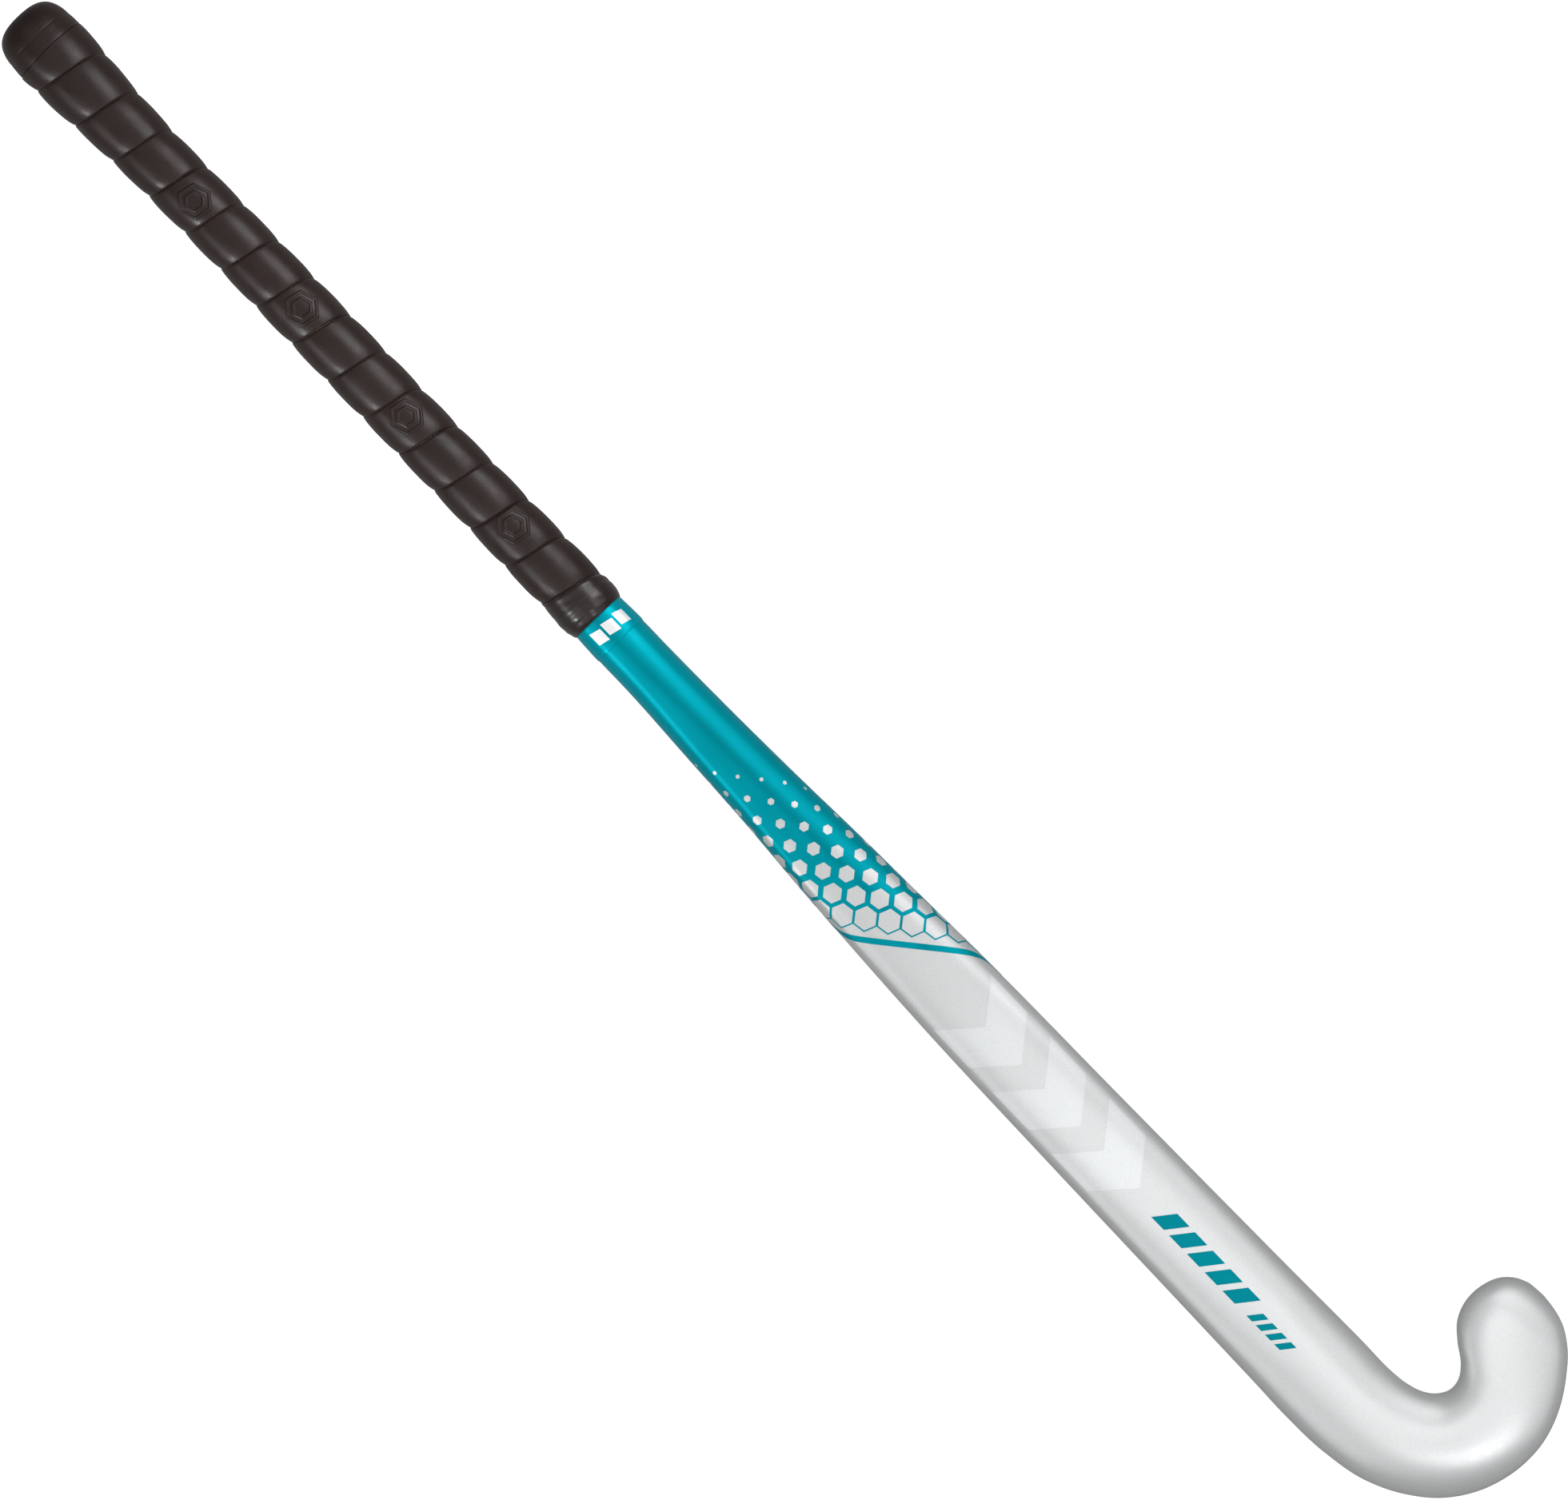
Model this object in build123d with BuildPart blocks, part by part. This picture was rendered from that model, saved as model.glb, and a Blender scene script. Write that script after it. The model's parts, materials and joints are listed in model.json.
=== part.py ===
from build123d import *
import math
import os

os.makedirs("parts", exist_ok=True)

# A composite field hockey stick, lying on its flat playing face.
# +X runs from the butt to the head, +Y points to the side that the head hooks towards,
# and +Z is up through the rounded back. The origin is the middle of the footprint.
# All sizes are in millimetres, and stations along the stick are measured from the butt.

# ---- overall sizes ----
LENGTH = 927.0          # butt to the outside of the hook, 36.5 inches
REACH = 96.45           # blade centre line to the top of the toe
BLADE_WIDTH = 47.8      # widest part of the shaft, just before the head bends
HEAD_DEPTH = 21.0       # playing face to back at the head
BUTT_X = -LENGTH / 2
BLADE_Y = -(REACH - BLADE_WIDTH / 2) / 2

# ---- bow: the face side is hollow along the shaft ----
BOW_PEAK = 510.0        # station where the face stands highest
BOW_END = 815.0         # station where the playing face becomes flat
PEAK_AXIS = 31.9        # height of the shaft's middle at the peak
BUTT_AXIS = 18.5        # height of the handle's middle at the butt flare
FLARE_X = 20.0

# ---- section shape ----
SIDE_SHARE = 0.40       # height of the widest level, as a share of the depth
ROUND = 0.56            # Bezier handle of the edges beside the face
FACE_TRIM = 1.6         # head sections start this far under the face and are cut flat
HEAD_FLAT = 0.83        # flat share of the face side at the head
GRIP_FLAT = 0.30        # flat share of the face side at the grip
# Crowns are the Bezier handles of the rounded back, at the side away from the hook and at
# the hook's side: a larger one makes a squarer shoulder.
GRIP_CROWNS = (0.58, 0.58)

# ---- wall build-up ----
WALL = 2.6              # laminate
TUBE_WALL = 0.8         # moulding tubes left inside the shaft
WEB = 1.6               # laminate rib between the two chambers
PLY = 1.0               # extra ply behind the playing face
FILM = 0.25             # printed film over the laminate
BAND = 0.5              # collar band under the grip
GRIP_THICK = 2.0        # cushioned grip strip
TAPE = 0.3              # double-sided tape under the grip
CAP_WALL = 2.2          # moulded butt cap
BOND = 0.1              # glue line between nested pieces
CLEAR = 100.0           # further across than any piece reaches

# ---- stations of the pieces along the stick ----
CAP_FLOOR = 7.0
SHELL_START = CAP_FLOOR + BOND
CAP_END = 21.0
PLUG_END = 36.0
CHAMBER_START = 40.0
FOAM_END = 345.0
TAPE_START = 350.0
GRIP_END = 362.0
COLLAR_START = 371.2
COLLAR_END = 385.0
FILM_END = 552.0
STRIPE_X = 571.0
STRIPE_WIDTH = 2.7
SLANT = 38.6            # degrees from +X to the print's rows, across the back
CHAMBER_END = 770.0
CORE_START = 780.0

# Laminate under the grip: (station, width, depth, side offset, flat share of the face, crowns)
HANDLE_STATIONS = [
    (SHELL_START, 21.5, 23.4, -0.3, 0.30, GRIP_CROWNS),
    (100, 21.5, 23.4, 0.5, 0.30, GRIP_CROWNS),
    (200, 21.5, 23.4, 0.8, 0.30, GRIP_CROWNS),
    (300, 21.8, 23.6, 1.2, 0.32, GRIP_CROWNS),
    (345, 23.2, 24.6, 1.2, 0.36, GRIP_CROWNS),
    (GRIP_END, 24.6, 25.5, 1.3, 0.38, (0.59, 0.59)),
]
# Laminate from the grip to the head
BLADE_STATIONS = [
    (GRIP_END, 24.6, 25.5, 1.3, 0.38, (0.59, 0.59)),
    (380, 26.2, 26.2, 1.4, 0.41, (0.60, 0.60)),
    (405, 26.5, 26.2, 1.4, 0.45, (0.62, 0.60)),
    (440, 28.4, 25.6, 1.0, 0.52, (0.66, 0.62)),
    (480, 31.1, 24.7, 0.8, 0.60, (0.72, 0.66)),
    (520, 35.2, 23.6, 0.4, 0.68, (0.79, 0.72)),
    (560, 38.4, 22.7, 0.0, 0.73, (0.85, 0.79)),
    (600, 41.2, 22.0, -0.1, 0.76, (0.88, 0.83)),
    (680, 43.5, 21.4, -0.3, 0.79, (0.88, 0.82)),
    (760, 45.5, 21.4, -0.2, 0.81, (0.84, 0.76)),
    (800, 46.6, 21.4, -0.1, 0.82, (0.80, 0.73)),
]
# Head, round the bend to the toe: inner point, outer point (station, offset), depth, crowns
HEAD_SECTIONS = [
    ((819.0, 23.6), (819.0, -23.6), 21.1, (0.74, 0.70)),
    ((838.0, 23.9), (838.0, -23.9), 21.0, (0.70, 0.68)),
    ((855.0, 23.9), (862.5, -22.6), 21.0, (0.66, 0.68)),
    ((865.5, 25.2), (883.0, -18.3), 21.0, (0.63, 0.70)),
    ((872.8, 27.8), (899.5, -10.1), 21.0, (0.61, 0.72)),
    ((877.8, 31.8), (913.0, 1.3), 21.0, (0.60, 0.74)),
    ((880.0, 37.2), (922.2, 15.8), 21.0, (0.60, 0.76)),
    ((878.8, 43.2), (926.7, 32.0), 20.8, (0.62, 0.77)),
    ((874.3, 48.8), (926.9, 46.0), 20.6, (0.66, 0.78)),
    ((867.4, 54.3), (924.3, 57.4), 20.4, (0.70, 0.78)),
    ((860.5, 60.8), (919.3, 68.2), 20.1, (0.73, 0.77)),
    ((856.9, 69.4), (912.3, 78.2), 19.6, (0.75, 0.76)),
    ((857.0, 79.6), (902.9, 87.3), 18.6, (0.76, 0.76)),
    ((860.5, 88.2), (893.4, 93.3), 16.2, (0.76, 0.74)),
    ((865.7, 93.0), (885.9, 95.6), 12.6, (0.74, 0.72)),
    ((870.6, 95.6), (880.4, REACH), 8.0, (0.70, 0.70)),
]
HOLLOW_SECTIONS = 13    # head sections that the foam core runs through
# Outside of the grip: (station, width, depth, side offset, flat share of the face, crowns)
GRIP_STATIONS = [
    (CAP_FLOOR, 33.4, 34.5, -0.2, GRIP_FLAT, GRIP_CROWNS),
    (CAP_END, 35.3, 36.4, -0.2, GRIP_FLAT, GRIP_CROWNS),
    (30, 34.6, 36.0, -0.2, GRIP_FLAT, GRIP_CROWNS),
    (42, 33.2, 34.8, -0.3, GRIP_FLAT, GRIP_CROWNS),
    (60, 30.6, 32.6, -0.2, GRIP_FLAT, GRIP_CROWNS),
    (80, 28.8, 31.0, 0.0, GRIP_FLAT, GRIP_CROWNS),
    (110, 28.2, 30.6, 0.5, GRIP_FLAT, GRIP_CROWNS),
    (200, 28.2, 30.6, 0.8, GRIP_FLAT, GRIP_CROWNS),
    (300, 28.4, 30.6, 1.2, GRIP_FLAT, GRIP_CROWNS),
    (345, 29.0, 30.8, 1.2, GRIP_FLAT, GRIP_CROWNS),
    (GRIP_END, 29.0, 30.4, 1.2, GRIP_FLAT, GRIP_CROWNS),
]
# Outside of the finishing tape, which steps down from the grip to the laminate
END_TAPE_STATIONS = [
    (TAPE_START, 29.9, 31.7, 1.2, GRIP_FLAT, GRIP_CROWNS),
    (356, 29.9, 31.5, 1.2, GRIP_FLAT, GRIP_CROWNS),
    (GRIP_END, 29.8, 31.2, 1.2, GRIP_FLAT, GRIP_CROWNS),
    (367, 28.6, 29.6, 1.3, GRIP_FLAT, GRIP_CROWNS),
    (371, 26.9, 27.6, 1.4, GRIP_FLAT, GRIP_CROWNS),
]
CAP_DOME = 12.0         # length and depth of the butt's rounded end
DOME_POWER = 2.35       # how square the rounded end is, 2 being a quarter circle
DOME_STEP = 15          # degrees between the dome's sections


def axis_height(x):
    """Height of the middle of the shaft above the surface that the stick lies on."""
    if x < BOW_PEAK:
        fall = (BOW_PEAK - x) / (BOW_PEAK - FLARE_X)
        return PEAK_AXIS - (PEAK_AXIS - BUTT_AXIS) * fall**2
    step = min((x - BOW_PEAK) / (BOW_END - BOW_PEAK), 1)
    return PEAK_AXIS - (PEAK_AXIS - HEAD_DEPTH / 2) * step**2 * (3 - 2 * step)


def across(x):
    """The plane square to the shaft at a station, facing the head."""
    return Plane(origin=(BUTT_X + x, BLADE_Y, 0), x_dir=(0, 1, 0), z_dir=(1, 0, 0))


def d_face(plane, middle, width, low, depth, flat, crowns):
    """A closed D: flat at the bottom, rounded at its edges and crowned on top."""
    half = width / 2
    foot = flat * half
    side = low + SIDE_SHARE * depth
    top = low + depth
    with BuildSketch(plane) as face:
        with BuildLine():
            for s, crown in zip((-1, 1), crowns):
                Bezier(
                    (middle + s * foot, low),
                    (middle + s * (foot + ROUND * (half - foot)), low),
                    (middle + s * half, side - ROUND * (side - low)),
                    (middle + s * half, side),
                )
                Bezier(
                    (middle + s * half, side),
                    (middle + s * half, side + crown * (top - side)),
                    (middle + s * crown * half, top),
                    (middle, top),
                )
            Line((middle - foot, low), (middle + foot, low))
        make_face()
    return face.sketch


def shaft_face(station, inset):
    """The D at a station of the shaft, moved inwards by an inset."""
    x, width, depth, offset, flat, crowns = station
    trim = FACE_TRIM if x >= CORE_START else 0
    low = axis_height(x) - depth / 2 - trim + inset
    high = depth + trim - 2 * inset
    return d_face(across(x), offset, width - 2 * inset, low, high, flat, crowns)


def head_face(section, inset):
    """The D between an inner and an outer point of the head, moved inwards by an inset."""
    inner, outer, depth, crowns = section
    run = Vector(inner[0] - outer[0], inner[1] - outer[1], 0)
    middle = (BUTT_X + (inner[0] + outer[0]) / 2, BLADE_Y + (inner[1] + outer[1]) / 2, 0)
    plane = Plane(origin=middle, x_dir=run, z_dir=run.cross(Vector(0, 0, 1)))
    low = inset - FACE_TRIM
    high = depth + FACE_TRIM - 2 * inset
    return d_face(plane, 0, run.length - 2 * inset, low, high, HEAD_FLAT, crowns)


def shaft_form(stations, inset):
    """The solid through a list of shaft stations, moved inwards by an inset."""
    with BuildPart() as form:
        loft(sections=[shaft_face(station, inset) for station in stations])
    return form.part


def stick_form(inset, head_sections):
    """The whole stick's form, cut flat under the playing face."""
    handle = shaft_form(HANDLE_STATIONS, inset)
    blade = shaft_form(BLADE_STATIONS, inset)
    bend = [shaft_face(BLADE_STATIONS[-1], inset)]
    bend += [head_face(section, inset) for section in HEAD_SECTIONS[:head_sections]]
    with BuildPart() as form:
        add(handle)
        add(blade)
        loft(sections=bend)
        split(bisect_by=Plane.XY.offset(inset), keep=Keep.TOP)
    return form.part


def between(form, start, end, low_y=-CLEAR, high_y=CLEAR, low_z=-CLEAR, high_z=CLEAR):
    """The part of a form between two stations, two offsets across and two heights."""
    with BuildPart() as piece:
        add(form)
        with BuildSketch(across(start)):
            with Locations(((low_y + high_y) / 2, (low_z + high_z) / 2)):
                Rectangle(high_y - low_y, high_z - low_z)
        extrude(amount=end - start, mode=Mode.INTERSECT)
    return piece.part


def slanted(x):
    """The plane along the print's rows, crossing the centre line at a station."""
    turn = math.radians(SLANT)
    return Plane(
        origin=(BUTT_X + x, BLADE_Y, 0),
        x_dir=(math.cos(turn), math.sin(turn), 0),
        z_dir=(math.sin(turn), -math.cos(turn), 0),
    )


outer_form = stick_form(0, len(HEAD_SECTIONS))
hollow_form = stick_form(WALL, HOLLOW_SECTIONS)
core_form = stick_form(WALL + BOND, HOLLOW_SECTIONS)
tube_form = stick_form(WALL + BOND + TUBE_WALL, HOLLOW_SECTIONS)

# The carbon and glass shell, one moulding from the butt to the toe, open at the butt
with BuildPart() as shell_laminate:
    add(outer_form)
    add(hollow_form, mode=Mode.SUBTRACT)
shell_laminate.part.label = "shell_laminate"
export_step(shell_laminate.part, "parts/shell_laminate.step")

# Two sealed tubes side by side, which pressed the laminate into its mould
web_side = WEB / 2 + BOND
tube_skin = web_side + TUBE_WALL
left_outside = between(core_form, CHAMBER_START, CHAMBER_END, low_y=web_side)
left_inside = between(
    tube_form, CHAMBER_START + TUBE_WALL, CHAMBER_END - TUBE_WALL, low_y=tube_skin
)
with BuildPart() as chamber_tube_left:
    add(left_outside)
    add(left_inside, mode=Mode.SUBTRACT)
chamber_tube_left.part.label = "chamber_tube_left"
export_step(chamber_tube_left.part, "parts/chamber_tube_left.step")

right_outside = between(core_form, CHAMBER_START, CHAMBER_END, high_y=-web_side)
right_inside = between(
    tube_form, CHAMBER_START + TUBE_WALL, CHAMBER_END - TUBE_WALL, high_y=-tube_skin
)
with BuildPart() as chamber_tube_right:
    add(right_outside)
    add(right_inside, mode=Mode.SUBTRACT)
chamber_tube_right.part.label = "chamber_tube_right"
export_step(chamber_tube_right.part, "parts/chamber_tube_right.step")

# The rib that the two tubes leave between them, from face to back
web_blank = between(core_form, CHAMBER_START, CHAMBER_END, low_y=-WEB / 2, high_y=WEB / 2)
with BuildPart() as centre_web:
    add(web_blank)
centre_web.part.label = "centre_web"
export_step(centre_web.part, "parts/centre_web.step")

# The extra ply behind the playing face, and the foam core that fills the head over it
ply_top = WALL + BOND + PLY
ply_blank = between(core_form, CORE_START, LENGTH, high_z=ply_top)
with BuildPart() as face_ply:
    add(ply_blank)
face_ply.part.label = "face_ply"
export_step(face_ply.part, "parts/face_ply.step")

core_blank = between(core_form, CORE_START, LENGTH, low_z=ply_top + BOND)
with BuildPart() as head_core:
    add(core_blank)
head_core.part.label = "head_core"
export_step(head_core.part, "parts/head_core.step")

# The plug that closes the shell at the butt
plug_blank = between(core_form, SHELL_START, PLUG_END)
with BuildPart() as butt_plug:
    add(plug_blank)
butt_plug.part.label = "butt_plug"
export_step(butt_plug.part, "parts/butt_plug.step")

# The foam that rounds the laminate out to a handle, with the flare at the butt
foam_blank = shaft_form(GRIP_STATIONS, GRIP_THICK + TAPE + 2 * BOND)
foam_length = between(foam_blank, SHELL_START, FOAM_END)
handle_bore = shaft_form(HANDLE_STATIONS, -BOND)
with BuildPart() as handle_foam:
    add(foam_length)
    add(handle_bore, mode=Mode.SUBTRACT)
handle_foam.part.label = "handle_foam"
export_step(handle_foam.part, "parts/handle_foam.step")

# The moulded cap that covers the butt: a domed cup over the end of the handle foam
_, cap_width, cap_depth, cap_offset, cap_flat, cap_crowns = GRIP_STATIONS[1]
cap_faces = []
for turn in range(0, 91, DOME_STEP):
    along = CAP_DOME * (1 - abs(math.cos(math.radians(turn))) ** (2 / DOME_POWER))
    loss = 2 * CAP_DOME * (1 - math.sin(math.radians(turn)) ** (2 / DOME_POWER))
    width, depth = cap_width - loss, cap_depth - loss
    low = BUTT_AXIS - depth / 2
    cap_faces.append(d_face(across(along), cap_offset, width, low, depth, cap_flat, cap_crowns))
cap_faces.append(shaft_face(GRIP_STATIONS[1], 0))
cap_blank = shaft_form(GRIP_STATIONS, CAP_WALL + BOND)
cap_hollow = between(cap_blank, CAP_FLOOR, CAP_END)
with BuildPart() as butt_cap:
    loft(sections=cap_faces)
    add(cap_hollow, mode=Mode.SUBTRACT)
butt_cap.part.label = "butt_cap"
export_step(butt_cap.part, "parts/butt_cap.step")

# The double-sided tape and the cushioned strip that is wound over it
grip_form = shaft_form(GRIP_STATIONS, 0)
under_grip = shaft_form(GRIP_STATIONS, GRIP_THICK)
tape_form = shaft_form(GRIP_STATIONS, GRIP_THICK + BOND)
under_tape = shaft_form(GRIP_STATIONS, GRIP_THICK + BOND + TAPE)
tape_length = between(tape_form, CAP_END + BOND, FOAM_END)
with BuildPart() as grip_tape:
    add(tape_length)
    add(under_tape, mode=Mode.SUBTRACT)
grip_tape.part.label = "grip_tape"
export_step(grip_tape.part, "parts/grip_tape.step")

grip_length = between(grip_form, CAP_END + BOND, GRIP_END)
with BuildPart() as grip_wrap:
    add(grip_length)
    add(under_grip, mode=Mode.SUBTRACT)
grip_wrap.part.label = "grip_wrap"
export_step(grip_wrap.part, "parts/grip_wrap.step")

# The finishing tape that holds the strip's lower end down on the laminate
grip_clear = shaft_form(GRIP_STATIONS, -BOND / 2)
blade_clear = shaft_form(BLADE_STATIONS, -BOND)
with BuildPart() as grip_end_tape:
    loft(sections=[shaft_face(station, 0) for station in END_TAPE_STATIONS])
    add(grip_clear, mode=Mode.SUBTRACT)
    add(blade_clear, mode=Mode.SUBTRACT)
grip_end_tape.part.label = "grip_end_tape"
export_step(grip_end_tape.part, "parts/grip_end_tape.step")

# The collar band below the grip
band_form = shaft_form(BLADE_STATIONS, -BOND - BAND)
band_length = between(band_form, COLLAR_START, COLLAR_END)
with BuildPart() as collar_band:
    add(band_length)
    add(blade_clear, mode=Mode.SUBTRACT)
collar_band.part.label = "collar_band"
export_step(collar_band.part, "parts/collar_band.step")

# The printed film round the upper shaft, with a slanted lower end
film_form = shaft_form(BLADE_STATIONS, -BOND - FILM)
film_length = between(film_form, COLLAR_END + BOND, FILM_END + BLADE_WIDTH)
with BuildPart() as shaft_film:
    add(film_length)
    split(bisect_by=slanted(FILM_END), keep=Keep.BOTTOM)
    add(blade_clear, mode=Mode.SUBTRACT)
shaft_film.part.label = "shaft_film"
export_step(shaft_film.part, "parts/shaft_film.step")

# The slanted stripe that rings the blade below it
stripe_half = STRIPE_WIDTH / 2 / math.sin(math.radians(SLANT))
with BuildPart() as stripe_band:
    add(film_form)
    split(bisect_by=slanted(STRIPE_X + stripe_half), keep=Keep.BOTTOM)
    split(bisect_by=slanted(STRIPE_X - stripe_half), keep=Keep.TOP)
    add(blade_clear, mode=Mode.SUBTRACT)
stripe_band.part.label = "stripe_band"
export_step(stripe_band.part, "parts/stripe_band.step")
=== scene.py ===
"""The looks of a field hockey stick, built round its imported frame.

Blender works in metres in the frame's axes. The tables below are in millimetres: stations
are measured along the stick from the butt, and offsets across it from the blade's centre line.
"""

import json
import math

import bpy
import numpy as np
from mathutils import Matrix, Vector, noise


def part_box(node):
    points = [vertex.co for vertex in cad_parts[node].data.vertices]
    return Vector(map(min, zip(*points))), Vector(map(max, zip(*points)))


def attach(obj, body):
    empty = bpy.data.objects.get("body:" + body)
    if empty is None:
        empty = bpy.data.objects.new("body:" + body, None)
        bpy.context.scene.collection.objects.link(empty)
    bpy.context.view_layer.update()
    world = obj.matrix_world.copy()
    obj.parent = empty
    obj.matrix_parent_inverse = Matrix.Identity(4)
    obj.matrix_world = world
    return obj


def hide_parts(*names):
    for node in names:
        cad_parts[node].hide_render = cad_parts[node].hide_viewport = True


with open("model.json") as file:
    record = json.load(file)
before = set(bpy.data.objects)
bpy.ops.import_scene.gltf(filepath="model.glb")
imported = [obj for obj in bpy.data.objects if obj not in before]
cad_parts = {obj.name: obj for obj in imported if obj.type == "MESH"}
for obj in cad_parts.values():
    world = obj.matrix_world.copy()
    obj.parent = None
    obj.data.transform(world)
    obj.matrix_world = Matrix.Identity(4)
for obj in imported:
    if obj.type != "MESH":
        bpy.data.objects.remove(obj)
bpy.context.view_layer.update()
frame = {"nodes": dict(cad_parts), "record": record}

MM = 0.001
CAP_OFFSET = -0.2
cap_low, cap_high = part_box("butt_cap")
BUTT_X = cap_low[0]
BLADE_Y = (cap_low[1] + cap_high[1]) / 2 - CAP_OFFSET * MM

# ---- bow and section shape, as in the CAD model ----
BOW_PEAK = 510.0
BOW_END = 815.0
PEAK_AXIS = 31.9
BUTT_AXIS = 18.5
FLARE_X = 20.0
HEAD_DEPTH = 21.0
SIDE_SHARE = 0.40
ROUND = 0.56

# ---- stations of the pieces ----
CAP_FLOOR = 7.0
CAP_END = 21.0
CAP_WALL = 2.2
CAP_DOME = 12.0
WALL = 2.6
BOND = 0.1
GRIP_END = 361.0
COLLAR_START = 370.6
COLLAR_END = 385.0
BEND_START = 800.0

# Shaft: (station, width, depth, offset, flat share of the face, crown at -y, crown at +y)
SHAFT = [
    (7.1, 21.5, 23.4, -0.3, 0.30, 0.58, 0.58),
    (100, 21.5, 23.4, 0.5, 0.30, 0.58, 0.58),
    (200, 21.5, 23.4, 0.8, 0.30, 0.58, 0.58),
    (300, 21.8, 23.6, 1.2, 0.32, 0.58, 0.58),
    (345, 23.2, 24.6, 1.2, 0.36, 0.58, 0.58),
    (362, 24.6, 25.5, 1.3, 0.38, 0.59, 0.59),
    (380, 26.2, 26.2, 1.4, 0.41, 0.60, 0.60),
    (405, 26.5, 26.2, 1.4, 0.45, 0.62, 0.60),
    (440, 28.4, 25.6, 1.0, 0.52, 0.66, 0.62),
    (480, 31.1, 24.7, 0.8, 0.60, 0.72, 0.66),
    (520, 35.2, 23.6, 0.4, 0.68, 0.79, 0.72),
    (560, 38.4, 22.7, 0.0, 0.73, 0.85, 0.79),
    (600, 41.2, 22.0, -0.1, 0.76, 0.88, 0.83),
    (680, 43.5, 21.4, -0.3, 0.79, 0.89, 0.85),
    (760, 45.5, 21.4, -0.2, 0.81, 0.86, 0.81),
    (BEND_START, 46.6, 21.4, -0.1, 0.84, 0.81, 0.76),
]
# Head: inner point, outer point, depth, crown on the outer side, crown on the inner side
HEAD = [
    ((819.0, 23.6), (819.0, -23.6), 21.1, 0.74, 0.70),
    ((838.0, 23.9), (838.0, -23.9), 21.0, 0.70, 0.68),
    ((855.0, 23.9), (862.5, -22.6), 21.0, 0.66, 0.68),
    ((865.5, 25.2), (883.0, -18.3), 21.0, 0.63, 0.70),
    ((872.8, 27.8), (899.5, -10.1), 21.0, 0.61, 0.72),
    ((877.8, 31.8), (913.0, 1.3), 21.0, 0.60, 0.69),
    ((880.6, 37.4), (922.2, 15.8), 21.0, 0.64, 0.74),
    ((879.5, 43.7), (926.7, 32.0), 20.8, 0.70, 0.78),
    ((874.8, 49.2), (926.9, 46.0), 20.6, 0.74, 0.81),
    ((867.4, 54.3), (924.3, 57.4), 20.4, 0.75, 0.84),
    ((860.5, 60.8), (919.3, 68.2), 20.1, 0.75, 0.84),
    ((856.9, 69.4), (912.3, 78.2), 19.6, 0.76, 0.84),
    ((857.0, 79.6), (903.3, 87.7), 18.6, 0.77, 0.82),
    ((860.5, 88.2), (893.7, 93.6), 16.2, 0.76, 0.74),
    ((865.7, 93.0), (885.9, 95.6), 12.6, 0.74, 0.72),
    ((870.6, 95.3), (880.4, 96.2), 8.0, 0.70, 0.70),
]
HEAD_FLAT = 0.86
TOE_RISE = 0.25         # how far the toe's last cap stands past the last section
HOLLOW_SECTIONS = 13    # head sections that the hollow inside runs through

# Outside of the grip: (station, width, depth, offset)
GRIP = [
    (CAP_FLOOR, 33.4, 34.5, -0.2),
    (CAP_END, 35.3, 36.4, -0.2),
    (30, 34.6, 36.0, -0.2),
    (42, 33.2, 34.8, -0.3),
    (60, 30.6, 32.6, -0.2),
    (80, 28.8, 31.0, 0.0),
    (110, 28.2, 30.6, 0.5),
    (200, 28.2, 30.6, 0.8),
    (300, 28.4, 30.6, 1.2),
    (345, 29.0, 30.8, 1.2),
    (372, 29.0, 30.4, 1.2),
]
GRIP_FLAT = 0.30
GRIP_CROWNS = (0.58, 0.58)


def axis_height(x):
    """Height of the middle of the shaft above the surface that the stick lies on."""
    if x < BOW_PEAK:
        fall = (BOW_PEAK - x) / (BOW_PEAK - FLARE_X)
        return PEAK_AXIS - (PEAK_AXIS - BUTT_AXIS) * fall**2
    step = min((x - BOW_PEAK) / (BOW_END - BOW_PEAK), 1)
    return PEAK_AXIS - (PEAK_AXIS - HEAD_DEPTH / 2) * step**2 * (3 - 2 * step)


def smooth_table(rows):
    """A function that runs smoothly through rows of (position, values...)."""
    table = np.array(rows, dtype=float)
    at, values = table[:, 0], table[:, 1:]
    gaps = np.diff(at)[:, None]
    slopes = np.diff(values, axis=0) / gaps
    inner = (slopes[1:] * gaps[:-1] + slopes[:-1] * gaps[1:]) / (gaps[1:] + gaps[:-1])
    tangents = np.vstack([slopes[:1], inner, slopes[-1:]])

    def value(x):
        i = int(np.clip(np.searchsorted(at, x) - 1, 0, len(at) - 2))
        gap = at[i + 1] - at[i]
        t = (x - at[i]) / gap
        return (
            (2 * t**3 - 3 * t**2 + 1) * values[i]
            + (t**3 - 2 * t**2 + t) * gap * tangents[i]
            + (3 * t**2 - 2 * t**3) * values[i + 1]
            + (t**3 - t**2) * gap * tangents[i + 1]
        )

    return value


def bezier(a, b, c, d, count):
    """Points along a cubic Bezier, its last point left out."""
    t = np.linspace(0, 1, count, endpoint=False)[:, None]
    a, b, c, d = (np.array(p) for p in (a, b, c, d))
    return (1 - t) ** 3 * a + 3 * t * (1 - t) ** 2 * b + 3 * t**2 * (1 - t) * c + t**3 * d


def half_outline(half, depth, flat, crown, fine):
    """One side of a D, from the middle of its flat side round by -u to below its top."""
    foot = flat * half
    side = SIDE_SHARE * depth
    base = np.linspace(0, -foot, 9 * fine, endpoint=False)
    edge = bezier(
        (-foot, 0), (-foot - ROUND * (half - foot), 0), (-half, side * (1 - ROUND)),
        (-half, side), 12 * fine,
    )
    back = bezier(
        (-half, side), (-half, side + crown * (depth - side)), (-crown * half, depth),
        (0, depth), 27 * fine,
    )
    return np.vstack([np.stack([base, np.zeros_like(base)], axis=1), edge, back])


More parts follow.
